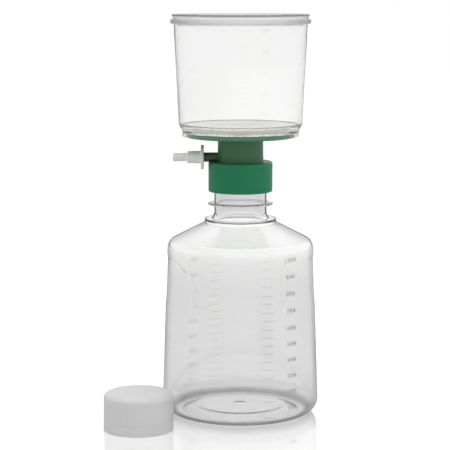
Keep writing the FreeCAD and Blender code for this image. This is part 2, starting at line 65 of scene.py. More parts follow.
# Drops are measured down from the bottle's rim. A face that would lie in another piece's
# face is moved by SUNK.
SUNK = 0.05
BEAD_DROP = 41.6
THREAD_DROP = 15.0
NECK_RADIUS = 21.0
MOUTH_RADIUS = 18.8
THREAD_BORE = 22.45
THREAD_PITCH = 4.233
THREAD_TURNS = 3
THREAD_WIDTH = 1.7
COLLAR_ROOF = 2.6
DISC_THICK = 4.2
COLUMN_TOP_RADIUS = 18.1
FITTING_STEM = 7.7
SPOUT_RADIUS = 5.8
PLATE_INSIDE = 43.7
PLATE_RADIUS = 46.6
DRAIN_DEPTH = 2.6
FUNNEL_TOP_RADIUS = 53.15
FUNNEL_LOW_RADIUS = 49.3
FUNNEL_WALL = 1.8
FUNNEL_LEDGE = 1.1
FUNNEL_LIP = 1.7


def levels(node):
    """Lowest and highest corner of a CAD node, in millimetres."""
    low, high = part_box(node)
    return low / MM, high / MM


# ---------------------------------------------------------------- outlines and turned pieces

def rounded(corners):
    """Turn corners (across, up) or (across, up, radius) into points, with arcs as corners.
    Small arcs have half as many points."""
    points = []
    for index, corner in enumerate(corners):
        here = Vector(corner[:2])
        if len(corner) == 2:
            points.append(here)
            continue
        radius = corner[2]
        back = (Vector(corners[index - 1][:2]) - here).normalized()
        ahead = (Vector(corners[(index + 1) % len(corners)][:2]) - here).normalized()
        half = back.angle(ahead) / 2
        reach = radius / math.tan(half)
        centre = here + (back + ahead).normalized() * (radius / math.sin(half))
        first = here + back * reach - centre
        turn = first.angle_signed(here + ahead * reach - centre)
        arc_step = ARC_STEP if radius > SMALL_ARC else 2 * ARC_STEP
        count = max(2, math.ceil(abs(turn) / arc_step))
        for step in range(count + 1):
            angle = -turn * step / count
            cos, sin = math.cos(angle), math.sin(angle)
            points.append(centre + Vector((first.x * cos - first.y * sin,
                                           first.x * sin + first.y * cos)))
    return points


def deselect():
    """Leave nothing selected, so that the next operator acts on its own piece alone."""
    bpy.ops.object.select_all(action="DESELECT")


def pick(*pieces):
    """Select these pieces alone, with the first one active."""
    deselect()
    for piece in pieces:
        piece.select_set(True)
    bpy.context.view_layer.objects.active = pieces[0]


def trace(name, places, closed):
    """Draw a chain of edges through places, by extruding one vertex from each to the next."""
    deselect()
    bpy.ops.mesh.primitive_plane_add(size=MM, location=places[0])
    piece = bpy.context.object
    piece.name = piece.data.name = name
    bpy.ops.object.transform_apply(location=True, rotation=False, scale=False)
    bpy.ops.object.mode_set(mode="EDIT")
    bpy.ops.mesh.select_all(action="SELECT")
    bpy.ops.mesh.merge(type="CENTER")
    ends = places[1:] + places[:1] if closed else places[1:]
    for here, there in zip(places, ends):
        bpy.ops.mesh.extrude_vertices_move(TRANSFORM_OT_translate={"value": there - here})
    bpy.ops.mesh.select_all(action="SELECT")
    bpy.ops.mesh.remove_doubles(threshold=TOUCH)
    bpy.ops.object.mode_set(mode="OBJECT")
    return piece


def apply_modifier(piece, kind, **settings):
    """Add a modifier to a piece and apply it."""
    pick(piece)
    modifier = piece.modifiers.new(kind.lower(), kind)
    for name, value in settings.items():
        setattr(modifier, name, value)
    bpy.ops.object.modifier_apply(modifier=modifier.name)


def finish_piece(piece, body, material, node=None):
    """Smooth a piece, with its broad faces flat between their rounded corners, give it its
    material, attach it to its body, and hide the CAD node that it stands for."""
    pick(piece)
    bpy.ops.object.shade_smooth_by_angle(angle=SMOOTH_ANGLE)
    apply_modifier(piece, "WEIGHTED_NORMAL", keep_sharp=True)
    piece.data.materials.clear()
    piece.data.materials.append(material)
    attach(piece, body)
    if node:
        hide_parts(node)


def lathe(name, corners, steps, centre=(0, 0, 0), along="Z"):
    """Turn an outline about an axis through centre: Z takes (radius, height) corners, and X
    takes (along, radius) corners, with centre's height as the axis. An outline that starts
    on the axis stays open there."""
    points = rounded(corners)
    closed = (points[0].x if along == "Z" else points[0].y) > TOUCH
    piece = trace(name, [Vector((p.x, 0, p.y)) * MM for p in points], closed)
    apply_modifier(piece, "SCREW", axis=along, angle=math.tau, steps=steps, render_steps=steps,
                   use_merge_vertices=True, merge_threshold=TOUCH)
    bpy.ops.object.mode_set(mode="EDIT")
    bpy.ops.mesh.select_all(action="SELECT")
    bpy.ops.mesh.remove_doubles(threshold=TOUCH)
    bpy.ops.mesh.normals_make_consistent(inside=False)
    bpy.ops.object.mode_set(mode="OBJECT")
    piece.location = Vector(centre) * MM
    bpy.ops.object.transform_apply(location=True, rotation=False, scale=False)
    return piece


def combine(piece, tool, operation):
    """Join a tool to a piece, or cut it away, and remove the tool."""
    apply_modifier(piece, "BOOLEAN", operation=operation, solver="EXACT", object=tool)
    bpy.data.objects.remove(tool)


def points_of(piece):
    """Vertex places of a piece, in millimetres, as an array."""
    flat = np.empty(len(piece.data.vertices) * 3)
    piece.data.vertices.foreach_get("co", flat)
    return flat.reshape(-1, 3) / MM


def move_points(piece, points):
    """Put a piece's vertices at places given in millimetres."""
    piece.data.vertices.foreach_set("co", (points * MM).ravel())
    piece.data.update()


def fade_ends(ridge, root, count):
    """Bring a thread's ends down to its root over a tenth of a turn. Its mesh is a row of
    outlines, with count points each."""
    faded_steps, thinnest = SMALL_STEPS * 0.1, 0.02
    points = points_of(ridge)
    row = np.arange(len(points)) // count
    share = np.clip(np.minimum(row, row.max() - row) / faded_steps, thinnest, 1.0)
    radius = np.hypot(points[:, 0], points[:, 1])
    wanted = root + (radius - root) * share
    points[:, :2] *= (wanted / radius)[:, None]
    move_points(ridge, points)


def close_ends(ridge):
    """Put a face on each open end."""
    pick(ridge)
    bpy.ops.object.mode_set(mode="EDIT")
    bpy.ops.mesh.select_all(action="DESELECT")
    bpy.ops.mesh.select_mode(type="EDGE")
    bpy.ops.mesh.select_non_manifold()
    bpy.ops.mesh.edge_face_add()
    bpy.ops.mesh.select_all(action="SELECT")
    bpy.ops.mesh.normals_make_consistent(inside=False)
    bpy.ops.mesh.select_mode(type="VERT")
    bpy.ops.object.mode_set(mode="OBJECT")


def thread(name, wall, crest, low):
    """A right-hand thread ridge on a round wall, out to its crest's radius from a neck or in
    from a bore. Its root is a little sunk into the wall, and its flanks lean."""
    sunk, lean = 0.1, 0.45
    root = wall - math.copysign(sunk, crest - wall)
    half = THREAD_WIDTH / 2
    slope = half * lean
    profile = [(root, low - half), (crest, low - half + slope),
               (crest, low + half - slope), (root, low + half)]
    piece = trace(name, [Vector((across, 0, up)) * MM for across, up in profile], True)
    apply_modifier(piece, "SCREW", axis="Z", angle=math.tau, screw_offset=THREAD_PITCH * MM,
                   steps=SMALL_STEPS, render_steps=SMALL_STEPS, iterations=THREAD_TURNS,
                   use_merge_vertices=False)
    fade_ends(piece, root, len(profile))
    close_ends(piece)
    return piece


# ---------------------------------------------------------------- shader nodes

class Value:
    """A shader socket that takes arithmetic."""

    def __init__(self, nodes, socket):
        self.nodes, self.socket = nodes, socket

    def _math(self, operation, *items):
        return self.nodes.add("ShaderNodeMath", {"operation": operation}, dict(enumerate(items)))

    def __add__(self, other):
        return self._math("ADD", self, other)

    def __radd__(self, other):
        return self._math("ADD", other, self)

    def __sub__(self, other):
        return self._math("SUBTRACT", self, other)

    def __rsub__(self, other):
        return self._math("SUBTRACT", other, self)

    def __mul__(self, other):
        return self._math("MULTIPLY", self, other)

    def __rmul__(self, other):
        return self._math("MULTIPLY", other, self)

    def __truediv__(self, other):
        return self._math("DIVIDE", self, other)

    def __pow__(self, other):
        return self._math("POWER", self, other)

    def size(self):
        """This without its sign."""
        return self._math("ABSOLUTE", self)

    def higher(self, other):
        """The higher of this and another."""
        return self._math("MAXIMUM", self, other)

    def step(self, low, high):
        """Rise smoothly from 0 to 1 as this goes from low to high."""
        return self.nodes.add("ShaderNodeMapRange", {"interpolation_type": "SMOOTHSTEP"},
                              {"Value": self, "From Min": low, "From Max": high}, "Result")


class Nodes:
    """A node tree being made, of a material or the world."""

    def __init__(self, owner):
        owner.use_nodes = True
        self.tree = owner.node_tree
        self.tree.nodes.clear()

    def add(self, kind, settings=None, sockets=None, out=0):
        """Add a node, set it up, feed its sockets with values, plain numbers or colours, and
        return one of its outputs."""
        node = self.tree.nodes.new(kind)
        for name, value in (settings or {}).items():
            if name == "stops":
                self.set_stops(node.color_ramp.elements, value)
            else:
                setattr(node, name, value)
        for name, item in (sockets or {}).items():
            socket = node.inputs[name]
            if isinstance(item, Value):
                self.tree.links.new(item.socket, socket)
            else:
                socket.default_value = (*item, 1) if socket.type == "RGBA" else item
        return Value(self, node.outputs[out]) if node.outputs else None

    @staticmethod
    def set_stops(elements, stops):
        """Give a colour ramp its stops of (place, colour)."""
        while len(elements) < len(stops):
            elements.new(1.0)
        for element, (place, colour) in zip(elements, stops):
            element.position, element.color = place, (*colour, 1)

    def part(self, vector, axis):
        """The X, Y or Z of a vector."""
        return self.add("ShaderNodeSeparateXYZ", None, {"Vector": vector}, axis)

    def along(self, axis):
        """Place along the piece's own X, Y or Z, in millimetres."""
        return self.part(self.add("ShaderNodeTexCoord", out="Object"), axis) / MM

    def height(self):
        """Height up the piece, in millimetres."""
        return self.along("Z")

    def across(self):
        """Distance from the bottle's axis, in millimetres."""
        east, north = self.along("X"), self.along("Y")
        return (east * east + north * north) ** 0.5

    def noise(self, scale, detail=2.0, stretch=(1, 1, 1)):
        """Noise on the piece's own coordinates, of so many waves a metre."""
        place = self.add("ShaderNodeTexCoord", out="Object")
        if stretch != (1, 1, 1):
            place = self.add("ShaderNodeMapping", None, {"Vector": place, "Scale": stretch})
        return self.add("ShaderNodeTexNoise", None,
                        {"Vector": place, "Scale": scale, "Detail": detail}, "Fac")

    def ramp(self, factor, stops):
        """A colour ramp with stops of (place, colour)."""
        return self.add("ShaderNodeValToRGB", {"stops": stops}, {"Fac": factor}, "Color")

    def mix(self, factor, first, second):
        """A colour between two colours."""
        return self.add("ShaderNodeMix", {"data_type": "RGBA"},
                        {0: factor, 6: first, 7: second}, 2)

    def blend(self, factor, first, second):
        """A shader between two shaders."""
        return self.add("ShaderNodeMixShader", None, {0: factor, 1: first, 2: second})

    def bump(self, height, strength, distance):
        """A normal that follows a height."""
        return self.add("ShaderNodeBump", None,
                        {"Height": height, "Strength": strength, "Distance": distance})

    def ray(self, kind):
        """1 for rays of a kind, such as Is Camera Ray, and 0 for others."""
        return self.add("ShaderNodeLightPath", out=kind)

    def seen_ray(self):
        """1 for rays that carry the picture: the camera's own, through plastic, or mirrored."""
        return (self.ray("Is Camera Ray").higher(self.ray("Is Transmission Ray"))
                .higher(self.ray("Is Singular Ray")))

    def pass_lamps(self, shell, share):
        """A shader that lets a share of the lamps' light through, as a colour."""
        passed = self.add("ShaderNodeBsdfTransparent", None, {"Color": share})
        return self.blend(self.ray("Is Shadow Ray"), shell, passed)

    def output(self, kind="ShaderNodeOutputMaterial", **sockets):
        """The tree's output node, with its sockets fed."""
        self.add(kind, None, sockets)


def new_material(name):
    """An empty material and its nodes."""
    material = bpy.data.materials.new(name)
    return material, Nodes(material)


def settle(look, nodes):
    """A look that is given, or that a function works out on a material's nodes."""
    return look(nodes) if callable(look) else look


# ---------------------------------------------------------------- materials

def clear_plastic(name, grey, rim, density, ripple, frost=0.03, shade=0.86):
    """See-through moulded plastic: grey is its colour, a number or a share that changes over it;
    rim gives the painted shade where the wall is seen edge-on: how dark it turns, and between
    which shares of edge-on that happens. Shade is the share of the lamps' light that each face
    passes.
    Level faces have neither dark edges nor ripples."""
    material, nodes = new_material(name)
    facing = nodes.add("ShaderNodeLayerWeight", None, {"Blend": 0.5}, "Facing")
    lean = nodes.part(nodes.add("ShaderNodeNewGeometry", out="Normal"), "Z")
    upright = 1 - lean.size().step(0.93, 0.99)
    depth, first, last = settle(rim, nodes)
    # Painted shade: the colour turns dark where the wall is seen edge-on, for the dark outlines
    # that refraction gives clear walls.
    edge = facing.step(first, last) * upright * depth
    waves = nodes.noise(22.0, 1.0, (1, 1, 0.5)) * upright
    grain = nodes.noise(900.0)
    black, nearly_white = (0.0, 0.0, 0.0), (1.0, 1.0, 0.998)
    shell = nodes.add("ShaderNodeBsdfPrincipled", None, {
        "Base Color": nodes.mix((1 - edge) * settle(grey, nodes), black, nearly_white),
        "Roughness": grain * 0.03 + settle(frost, nodes),
        "Transmission Weight": 1.0,
        "IOR": 1.57,
        "Normal": nodes.bump(waves, ripple, 0.004),
    })
    surface = nodes.pass_lamps(shell, (shade, shade + 0.01, shade + 0.01))
    volume = nodes.add("ShaderNodeVolumeAbsorption", None, {"Color": black, "Density": density})
    nodes.output(Surface=surface, Volume=volume)
    return material


def over_bead(nodes):
    """Height over the top of the bottle's bead, in millimetres."""
    return nodes.height() - (levels("receiver_bottle")[1].z - BEAD_DROP)


def bottle_grey(nodes):
    """Greyer down the body and up the neck, clear at the cone, with painted shade at the heel.
    """
    up = nodes.height()
    wall = nodes.across().step(50, 56)
    body = 0.81 + up.step(105, 128) * 0.065 + up.step(128, 138) * 0.09
    # Painted shade: the colour darkens towards the heel.
    heel = 1 - (1 - up.step(2, 7)) * 0.46 - (1 - up.step(10, 15)) * 0.1
    neck = over_bead(nodes).step(0.25, 4.65) * 0.205
    return 1.0 - neck + wall * (body * heel - 1.0)


def bottle_rim(nodes):
    """Where the painted edge shade comes: the heel and the neck's outer edges turn dark sooner
    than the body's. The bead stays light, and the bore and the raised bottom stay clear."""
    up, high, across = nodes.height(), over_bead(nodes), nodes.across()
    neck = high.step(-8.35, -0.35)
    bead = high.step(-4.35, -3.35) * (1 - high.step(0.05, 0.65))
    bore = high.step(-0.35, 1.65) * (1 - across.step(MOUTH_RADIUS + 0.6, MOUTH_RADIUS + 1.6))
    bottom = (1 - up.step(7, 9)) * (1 - across.step(46, 50))
    # Painted edge shade comes sooner at the heel.
    heel = (1 - up.step(9, 14)) * across.step(50, 53)
    depth = (0.9 + neck * 0.1) * (1 - bead * 0.8) * (1 - bore) * (1 - bottom)
    return depth, 0.66 - neck * 0.12 - heel * 0.16, 0.98 - neck * 0.26 - heel * 0.1


def bottle_frost(nodes):
    """How rough the bottle is: least on the body and neck, a little more on the cone."""
    cone = nodes.height().step(139, 142) * (1 - over_bead(nodes).step(-6.35, -4.35))
    return 0.03 + cone * 0.09


def lid_grey(nodes):
    """Darkest in the raised rim, where painted shade stands for the grey its top shows edge-on,
    lightest in the first millimetres under it.
    """
    down = levels("funnel_lid")[1].z - nodes.height()
    # Painted shade: the raised rim is made darker.
    return 0.62 + down.step(1.5, 1.9) * 0.36 - down.step(3.8, 4.4) * 0.03


def funnel_grey(nodes):
    """Clear, with painted shade in a thin dark band round its inner corner above the ledge."""
    up = nodes.height() - levels("funnel")[0].z
    # Painted shade in the crease where the wall meets the ledge.
    corner_shade = up.step(0.9, 1.1) * (1 - up.step(1.5, 1.7)) * (1 - nodes.across().step(47.8, 48.2))
    return 0.97 - corner_shade * 0.5


def white_plastic(name, pale, dark, roughness):
    """Opaque moulded plastic with soft flow marks and a fine eggshell surface."""
    material, nodes = new_material(name)
    flow = nodes.noise(35.0, 3.0, (1, 1, 3))
    grain = nodes.noise(1400.0)
    shell = nodes.add("ShaderNodeBsdfPrincipled", None, {
        "Base Color": nodes.mix(flow, pale, dark),
        "Roughness": roughness - 0.05 + flow * 0.1,
        "IOR": 1.49,
        "Subsurface Weight": 0.08,
        "Subsurface Radius": (0.004, 0.004, 0.004),
        "Normal": nodes.bump(grain, 0.25, 0.0002),
    })
    nodes.output(Surface=shell)
    return material


def green_plastic(name, shine):
    """Green moulding: bright on the collar and the disc; painted shade makes the column between
    them darker and the side arm duller."""
    material, nodes = new_material(name)
    collar_top = levels("neck_gasket")[1].z + COLLAR_ROOF
    disc_low = levels("neck_adapter")[1].z - DISC_THICK
    height = (nodes.height() - collar_top + 1.0) / (disc_low - collar_top + 2.0)
    # Painted shade: the column's colour is darker and duller than the collar's, as shade under
    # the disc.
    column = (0.066, 0.193, 0.088)
    shade = nodes.ramp(height, [
        (0.0, (0.006, 0.230, 0.102)),
        (0.06, column),
        (0.92, column),
        (1.0, (0.036, 0.235, 0.112)),
    ])
    over_collar = nodes.height() - collar_top
    out_left = -1.0 * nodes.along("X")
    as_high_as_arm = over_collar.step(0.0, 0.2) * (1 - over_collar.step(7.6, 8.0))
    # Painted shade: the side arm is given a duller, darker colour.
    arm = as_high_as_arm * out_left.step(17.5, 19.5)
    arm_painted_shade, deep = (0.08, 0.125, 0.065), (0.02, 0.15, 0.07)
    flow = nodes.noise(40.0, 3.0)
    grain = nodes.noise(1600.0)
    shell = nodes.add("ShaderNodeBsdfPrincipled", None, {
        "Base Color": nodes.mix(flow * 0.25, nodes.mix(arm, shade, arm_painted_shade), deep),
        "Roughness": 0.30 + flow * 0.1,
        "IOR": 1.49,
        "Specular IOR Level": shine,
        "Normal": nodes.bump(grain, 0.2, 0.0002),
    })
    nodes.output(Surface=shell)
    return material


def fibre(name, pale, dark, scale, passed=None, shaded_edge=None):
    """Matt fibrous sheet or felt. A thin sheet has a little painted glow, though it is no lamp,
    and passes a share of the lamps' light. An edge band has painted shade: its own colour, which
    begins between two radii."""
    material, nodes = new_material(name)
    threads = nodes.noise(scale, 6.0)
    shade = nodes.mix(threads, pale, dark)
    # Painted shade: a darker band round the sheet's edge.
    if shaded_edge:
        edge_shade_colour, radii = shaded_edge
        shade = nodes.mix(nodes.across().step(*radii), shade, edge_shade_colour)
    surface = nodes.add("ShaderNodeBsdfPrincipled", None, {
        "Base Color": shade,
        "Roughness": 0.75 + threads * 0.15,
        "Specular IOR Level": 0.0,
        # Painted glow: a thin sheet gives off a little light, though it is no lamp.
        "Emission Color": shade,
        "Emission Strength": 0.31 if passed else 0.0,
        "Normal": nodes.bump(threads, 0.3, 0.0003),
    })
    if passed:
        surface = nodes.pass_lamps(surface, passed)
    nodes.output(Surface=surface)
    return material


bottle_clear = clear_plastic("bottle_clear", bottle_grey, bottle_rim, density=2.5,
                             ripple=0.08, frost=bottle_frost)
funnel_clear = clear_plastic("funnel_clear", funnel_grey, (0.15, 0.7, 1.0), density=4.0,
                             ripple=0.04, shade=0.98)
plate_clear = clear_plastic("plate_clear", 1.0, (0.45, 0.86, 0.98), density=0.5,
                            ripple=0.03, shade=0.98)
lid_clear = clear_plastic("lid_clear", lid_grey, (0.2, 0.5, 1.0), density=8.0,
                          ripple=0.04, frost=0.28, shade=0.97)
cap_white = white_plastic("cap_white", (0.76, 0.76, 0.76), (0.73, 0.73, 0.73), 0.42)
fitting_white = white_plastic("fitting_white", (0.87, 0.88, 0.84), (0.82, 0.83, 0.79), 0.38)
adapter_green = green_plastic("adapter_green", shine=0.35)
disc_green = green_plastic("disc_green", shine=0.0)
# The membrane has a painted glow and painted shade at its outer edge.
membrane_white = fibre("membrane_white", (0.97, 0.96, 0.91), (0.93, 0.92, 0.87), 700.0,
                       passed=(0.85, 0.85, 0.82), shaded_edge=((0.40, 0.38, 0.32), (45.6, 46.2)))
gasket_foam = fibre("gasket_foam", (0.85, 0.85, 0.83), (0.74, 0.74, 0.72), 900.0)
plug_fibre = fibre("plug_fibre", (0.80, 0.78, 0.72), (0.66, 0.64, 0.58), 1800.0)


# ---------------------------------------------------------------- receiver bottle

BODY_BASE = 63.4
BODY_TOP = 58.6
BODY_HEIGHT = 139.9
WALL = 1.6

# The hand grips are two shallow panels on opposite sides of the body. GRIP_HALF is half a
# panel's width, GRIP_EDGE the width of its soft edge, and GRIP_FOOT how far up from its
# lower end it takes to reach its depth.
GRIP_TURN = math.radians(-2.75)
GRIP_HALF = 47.1
GRIP_LOW, GRIP_HIGH = 87.5, 128.4
GRIP_CORNER, GRIP_TOP_CORNER = 8.0, 25.0
GRIP_DEPTH = 0.6
GRIP_EDGE = 1.9
GRIP_FOOT = 12.0


def body_radius(height):
    """Radius of the tapered body wall at a height."""
    return BODY_BASE - (BODY_BASE - BODY_TOP) * height / BODY_HEIGHT


def grip_share(points):
    """How far each point lies into a hand grip: 0 outside, 1 on its floor, smooth between.
    One of a grip's upper corners has a larger radius than the other three."""
    cos, sin = math.cos(GRIP_TURN), math.sin(GRIP_TURN)
    ahead = points[:, 0] * cos + points[:, 1] * sin
    across = (points[:, 1] * cos - points[:, 0] * sin) * np.sign(ahead)
    height = points[:, 2]
    edge = np.maximum(np.abs(across) - GRIP_HALF,
                      np.maximum(GRIP_LOW - height, height - GRIP_HIGH))
    for side, end in ((1, 1), (-1, 1), (1, -1), (-1, -1)):
        radius = GRIP_TOP_CORNER if side == end == 1 else GRIP_CORNER
        centre_up = (GRIP_HIGH if end > 0 else GRIP_LOW) - end * radius
        over = across * side - (GRIP_HALF - radius)
        up = (height - centre_up) * end
        edge = np.where((over > 0) & (up > 0), np.hypot(over, up) - radius, edge)
    share = np.clip((GRIP_EDGE / 2 - edge) / GRIP_EDGE, 0, 1)
    foot = np.clip((height - GRIP_LOW) / GRIP_FOOT, 0, 1)
    return share * share * (3 - 2 * share) * foot


def press_grips(bottle):
    """Press the hand grips into the body's wall, inside and out alike, so that it stays even."""
    points = points_of(bottle)
    radius = np.hypot(points[:, 0], points[:, 1])
    in_body_wall = radius > BODY_TOP - 2 * WALL
    depth = grip_share(points) * GRIP_DEPTH * in_body_wall
    points[:, :2] *= ((radius - depth) / np.maximum(radius, TOUCH))[:, None]
    move_points(bottle, points)


def make_bottle():
    """Blown bottle: foot ring, raised bottom, tapered body with hand grips, cone, neck. Its
    outline has rows of points beside the grips alone."""
    rim = levels("receiver_bottle")[1].z
    bead_top = rim - BEAD_DROP
    bead_low = bead_top - 3.0
    bead_radius = 28.8
    neck_foot = bead_top + 4.2
    ring_low = bead_top + 11.0
    ring_radius = 26.1
    foot_radius = 46.9
    bottom_radius, bottom_up, bottom_arc = 35.4, 4.5, 9.0
    nib_up = bottom_up + 0.8
    cone_drop = 0.97
    margin, row_step = 3, 0.9
    rows = np.arange(GRIP_LOW - margin, GRIP_HIGH + margin, row_step)
    outer = [(body_radius(row), row) for row in rows]
    inner = [(body_radius(row) - WALL, row) for row in reversed(rows)]
    corners = [
        (0, nib_up), (3, nib_up), (6, bottom_up), (bottom_radius, bottom_up, bottom_arc),
        (foot_radius, 0, WALL), (BODY_BASE, 0, 12.0),
        *outer,
        (BODY_TOP, BODY_HEIGHT, 9.0),
        (bead_radius, bead_low, 2.1), (bead_radius, bead_top, 0.2),
        (23.0, bead_top, 0.4), (NECK_RADIUS, neck_foot, 2.1),
        (NECK_RADIUS, ring_low), (ring_radius, ring_low + 0.4, 0.4),
        (ring_radius, ring_low + 1.4, 0.4), (NECK_RADIUS, ring_low + 1.8),
        (NECK_RADIUS, rim, 0.5), (MOUTH_RADIUS, rim),
        (MOUTH_RADIUS, neck_foot, 2.1), (21.4, bead_top - WALL, 0.6),
        (bead_radius - WALL, bead_top - WALL, 0.2),
        (bead_radius - WALL, bead_low - cone_drop, 2.1),
        (BODY_TOP - WALL, BODY_HEIGHT - cone_drop, 7.4),
        *inner,
        (BODY_BASE - WALL, WALL, 10.4), (foot_radius, WALL, WALL),
        (bottom_radius, bottom_up + WALL, bottom_arc), (6, bottom_up + WALL), (0, nib_up + WALL),
    ]
    bottle = lathe("bottle", corners, BOTTLE_STEPS)
    press_grips(bottle)
    finish_piece(bottle, "receiver", bottle_clear, "receiver_bottle")
    ridge = thread("bottle_thread", NECK_RADIUS, 22.2, rim - THREAD_DROP)
    finish_piece(ridge, "receiver", bottle_clear)


# ---------------------------------------------------------------- graduations

SCALE_AZIMUTH = math.radians(24)
SCALE_LOW = 14.3
SCALE_STEP, SCALE_GRIP_STEP = 12.6, 13.45


def wrap(piece, radius_at, azimuth):
    """Bend a flat piece in the XZ plane round the bottle or funnel, centred on an azimuth
    that counts from the front to the right."""
    points = points_of(piece)
    across, out, up = points[:, 0], -points[:, 1], points[:, 2]
    radius = radius_at(up) + out
    angle = azimuth + across / radius_at(up)
    bent = np.stack((radius * np.sin(angle), -radius * np.cos(angle), up), axis=1)
    move_points(piece, bent)


def bar(width, height, thick, across, up):
    """A thin flat bar with soft edges, standing in the XZ plane, centred on a place."""
    deselect()
    centre = (across * MM, 0, up * MM)
    bpy.ops.mesh.primitive_cube_add(size=1, location=centre)
    piece = bpy.context.object
    piece.scale = (width * MM, 2 * thick * MM, height * MM)
    bpy.ops.object.transform_apply(location=True, rotation=False, scale=True)
    bpy.ops.object.mode_set(mode="EDIT")
    bpy.ops.mesh.bevel(offset=thick * 0.6 * MM, segments=2)
    bpy.ops.mesh.select_all(action="SELECT")
    bpy.ops.mesh.bisect(plane_co=centre, plane_no=(1, 0, 0))
    bpy.ops.object.mode_set(mode="OBJECT")
    return piece


def number(text, height, thick, left, up, spread=1.0, slope=0.0):
    """Raised digits, standing in the XZ plane, from a left edge and centred on a height. The
    shares bring a text's size and its foot to the height and the middle of its digits."""
    size_share, middle_share = 1.35, 0.46
    deselect()
    bpy.ops.object.text_add(location=(0, 0, 0), rotation=(math.pi / 2, 0, 0))
    piece = bpy.context.object
    piece.data.body = text
    piece.data.size = height * size_share * MM
    piece.data.space_character = spread
    piece.data.extrude = (thick - slope) * MM
    piece.data.bevel_depth = slope * MM
    piece.data.bevel_resolution = 0
    piece.data.resolution_u = 3
    piece.location = (left * MM, 0, (up - height * middle_share) * MM)
    bpy.ops.object.convert(target="MESH")
    piece = bpy.context.object
    bpy.ops.object.transform_apply(location=True, rotation=True, scale=True)
    return piece


def join(pieces, name):
    """Join pieces into one."""
    pick(*pieces)
    bpy.ops.object.join()
    pieces[0].name = pieces[0].data.name = name
    return pieces[0]


def scale_heights():
    """Heights of the bottle's ten numbers, a little further apart over the hand grips."""
    heights = [SCALE_LOW]
    for _ in range(9):
        below_grip = heights[-1] + SCALE_STEP < GRIP_LOW
        heights.append(heights[-1] + (SCALE_STEP if below_grip else SCALE_GRIP_STEP))
    return heights


def sink_into_grips(marks, azimuth):
    """Set flat marks back where they will lie on a hand grip's floor."""
    points = points_of(marks)
    around = azimuth + points[:, 0] / BODY_TOP
    wrapped = np.stack((np.sin(around) * BODY_TOP, -np.cos(around) * BODY_TOP, points[:, 2]),
                       axis=1)
    points[:, 1] += grip_share(wrapped) * GRIP_DEPTH
    move_points(marks, points)


def make_scale(name, azimuth, raised):
    """A scale on the bottle: short ticks, and a number beside every second one."""
    tick_width, tick_height, tick_centre = 9.0, 0.5, -3.5
    digit_height = 3.6
    flat = []
    for index, height in enumerate(scale_heights()):
        for up in (height, height - SCALE_STEP / 2):
            flat.append(bar(tick_width, tick_height, raised * 0.6, tick_centre, up))
        text = f"{100 * (index + 1)}"
        left = 11.6 if len(text) > 3 else 13.6
        flat.append(number(text, digit_height, raised, left, height, spread=1.35,
                           slope=raised * 0.4))
    marks = join(flat, name)
    sink_into_grips(marks, azimuth)
    wrap(marks, body_radius, azimuth)
    finish_piece(marks, "receiver", bottle_clear)


def make_bottle_marks():
    """Two opposite scales, the back one raised less."""
    make_scale("bottle_marks_front", SCALE_AZIMUTH, 0.26)
    make_scale("bottle_marks_back", math.pi + SCALE_AZIMUTH, 0.1)


# ---------------------------------------------------------------- storage cap

def make_cap():
    """Double-walled cap, standing open end down, with its inner thread and a seal ring."""
    low, high = levels("storage_cap")
    centre = ((low.x + high.x) / 2, (low.y + high.y) / 2, 0)
    outside = (high.x - low.x) / 2
    top_outside = outside - 0.3
    tall = high.z
    wall = 1.6
    under = tall - wall
    shoulder = tall - 4.5
    thread_foot = 8.0
    seal = MOUTH_RADIUS - 0.3
    seal_low = under - 3.8
    corners = [
        (outside - wall, 0), (outside, 0, 0.32),
        (outside - 0.08, 8.1), (outside - 0.38, 8.4), (outside - 0.09, 8.7),
        (top_outside, tall, 4.5), (0, tall),
        (0, under), (seal - wall, under), (seal - wall, seal_low, 0.4),
        (seal, seal_low, 0.4), (seal, under), (THREAD_BORE, under),
        (THREAD_BORE, thread_foot, 0.4), (THREAD_BORE + wall, thread_foot, 0.4),
        (THREAD_BORE + wall, shoulder), (top_outside - wall, shoulder),
    ]
    cap = lathe("bottle_cap", corners, ROUND_STEPS, centre)
    finish_piece(cap, "receiver", cap_white, "storage_cap")
    ridge = thread("cap_thread", THREAD_BORE, 21.3, thread_foot + 3.5)
    points = points_of(ridge)
    points[:, :2] += centre[:2]
    move_points(ridge, points)
    finish_piece(ridge, "receiver", cap_white)


# ---------------------------------------------------------------- neck adapter

def rod(name, radius, start, end, height):
    """A round bar along X between two places."""
    deselect()
    bpy.ops.mesh.primitive_cylinder_add(
        vertices=SMALL_STEPS, radius=radius * MM, depth=(end - start) * MM,
        location=((start + end) / 2 * MM, 0, height * MM), rotation=(0, math.pi / 2, 0))
    piece = bpy.context.object
    piece.name = name
    bpy.ops.object.transform_apply(location=True, rotation=True, scale=True)
    return piece


def make_adapter():
    """Collar, hollow column and side arm in one moulding."""
    low, high = levels("neck_adapter")
    roof = levels("neck_gasket")[1].z
    top = roof + COLLAR_ROOF
    disc_low = high.z - DISC_THICK
    fitting_low, fitting_high = levels("tube_adapter")
    arm_end = fitting_high.x - FITTING_STEM
    arm_height = (fitting_low.z + fitting_high.z) / 2
    outside = THREAD_BORE + 3.25
    column_foot, bore = COLUMN_TOP_RADIUS + 0.3, 15.5
    arm_radius, arm_bore = 3.8, 2.5
    corners = [
        (THREAD_BORE, low.z), (outside, low.z, 0.75), (outside, top, 1.5), (column_foot, top),
        (COLUMN_TOP_RADIUS, disc_low), (bore, disc_low), (bore, roof), (THREAD_BORE, roof),
    ]
    adapter = lathe("neck_adapter_moulding", corners, ROUND_STEPS)
    combine(adapter, rod("arm", arm_radius, arm_end, -(bore + 1), arm_height), "UNION")
    combine(adapter, rod("bore", arm_bore, arm_end - 1, -10.0, arm_height), "DIFFERENCE")
    finish_piece(adapter, "filter_head", adapter_green, "neck_adapter")


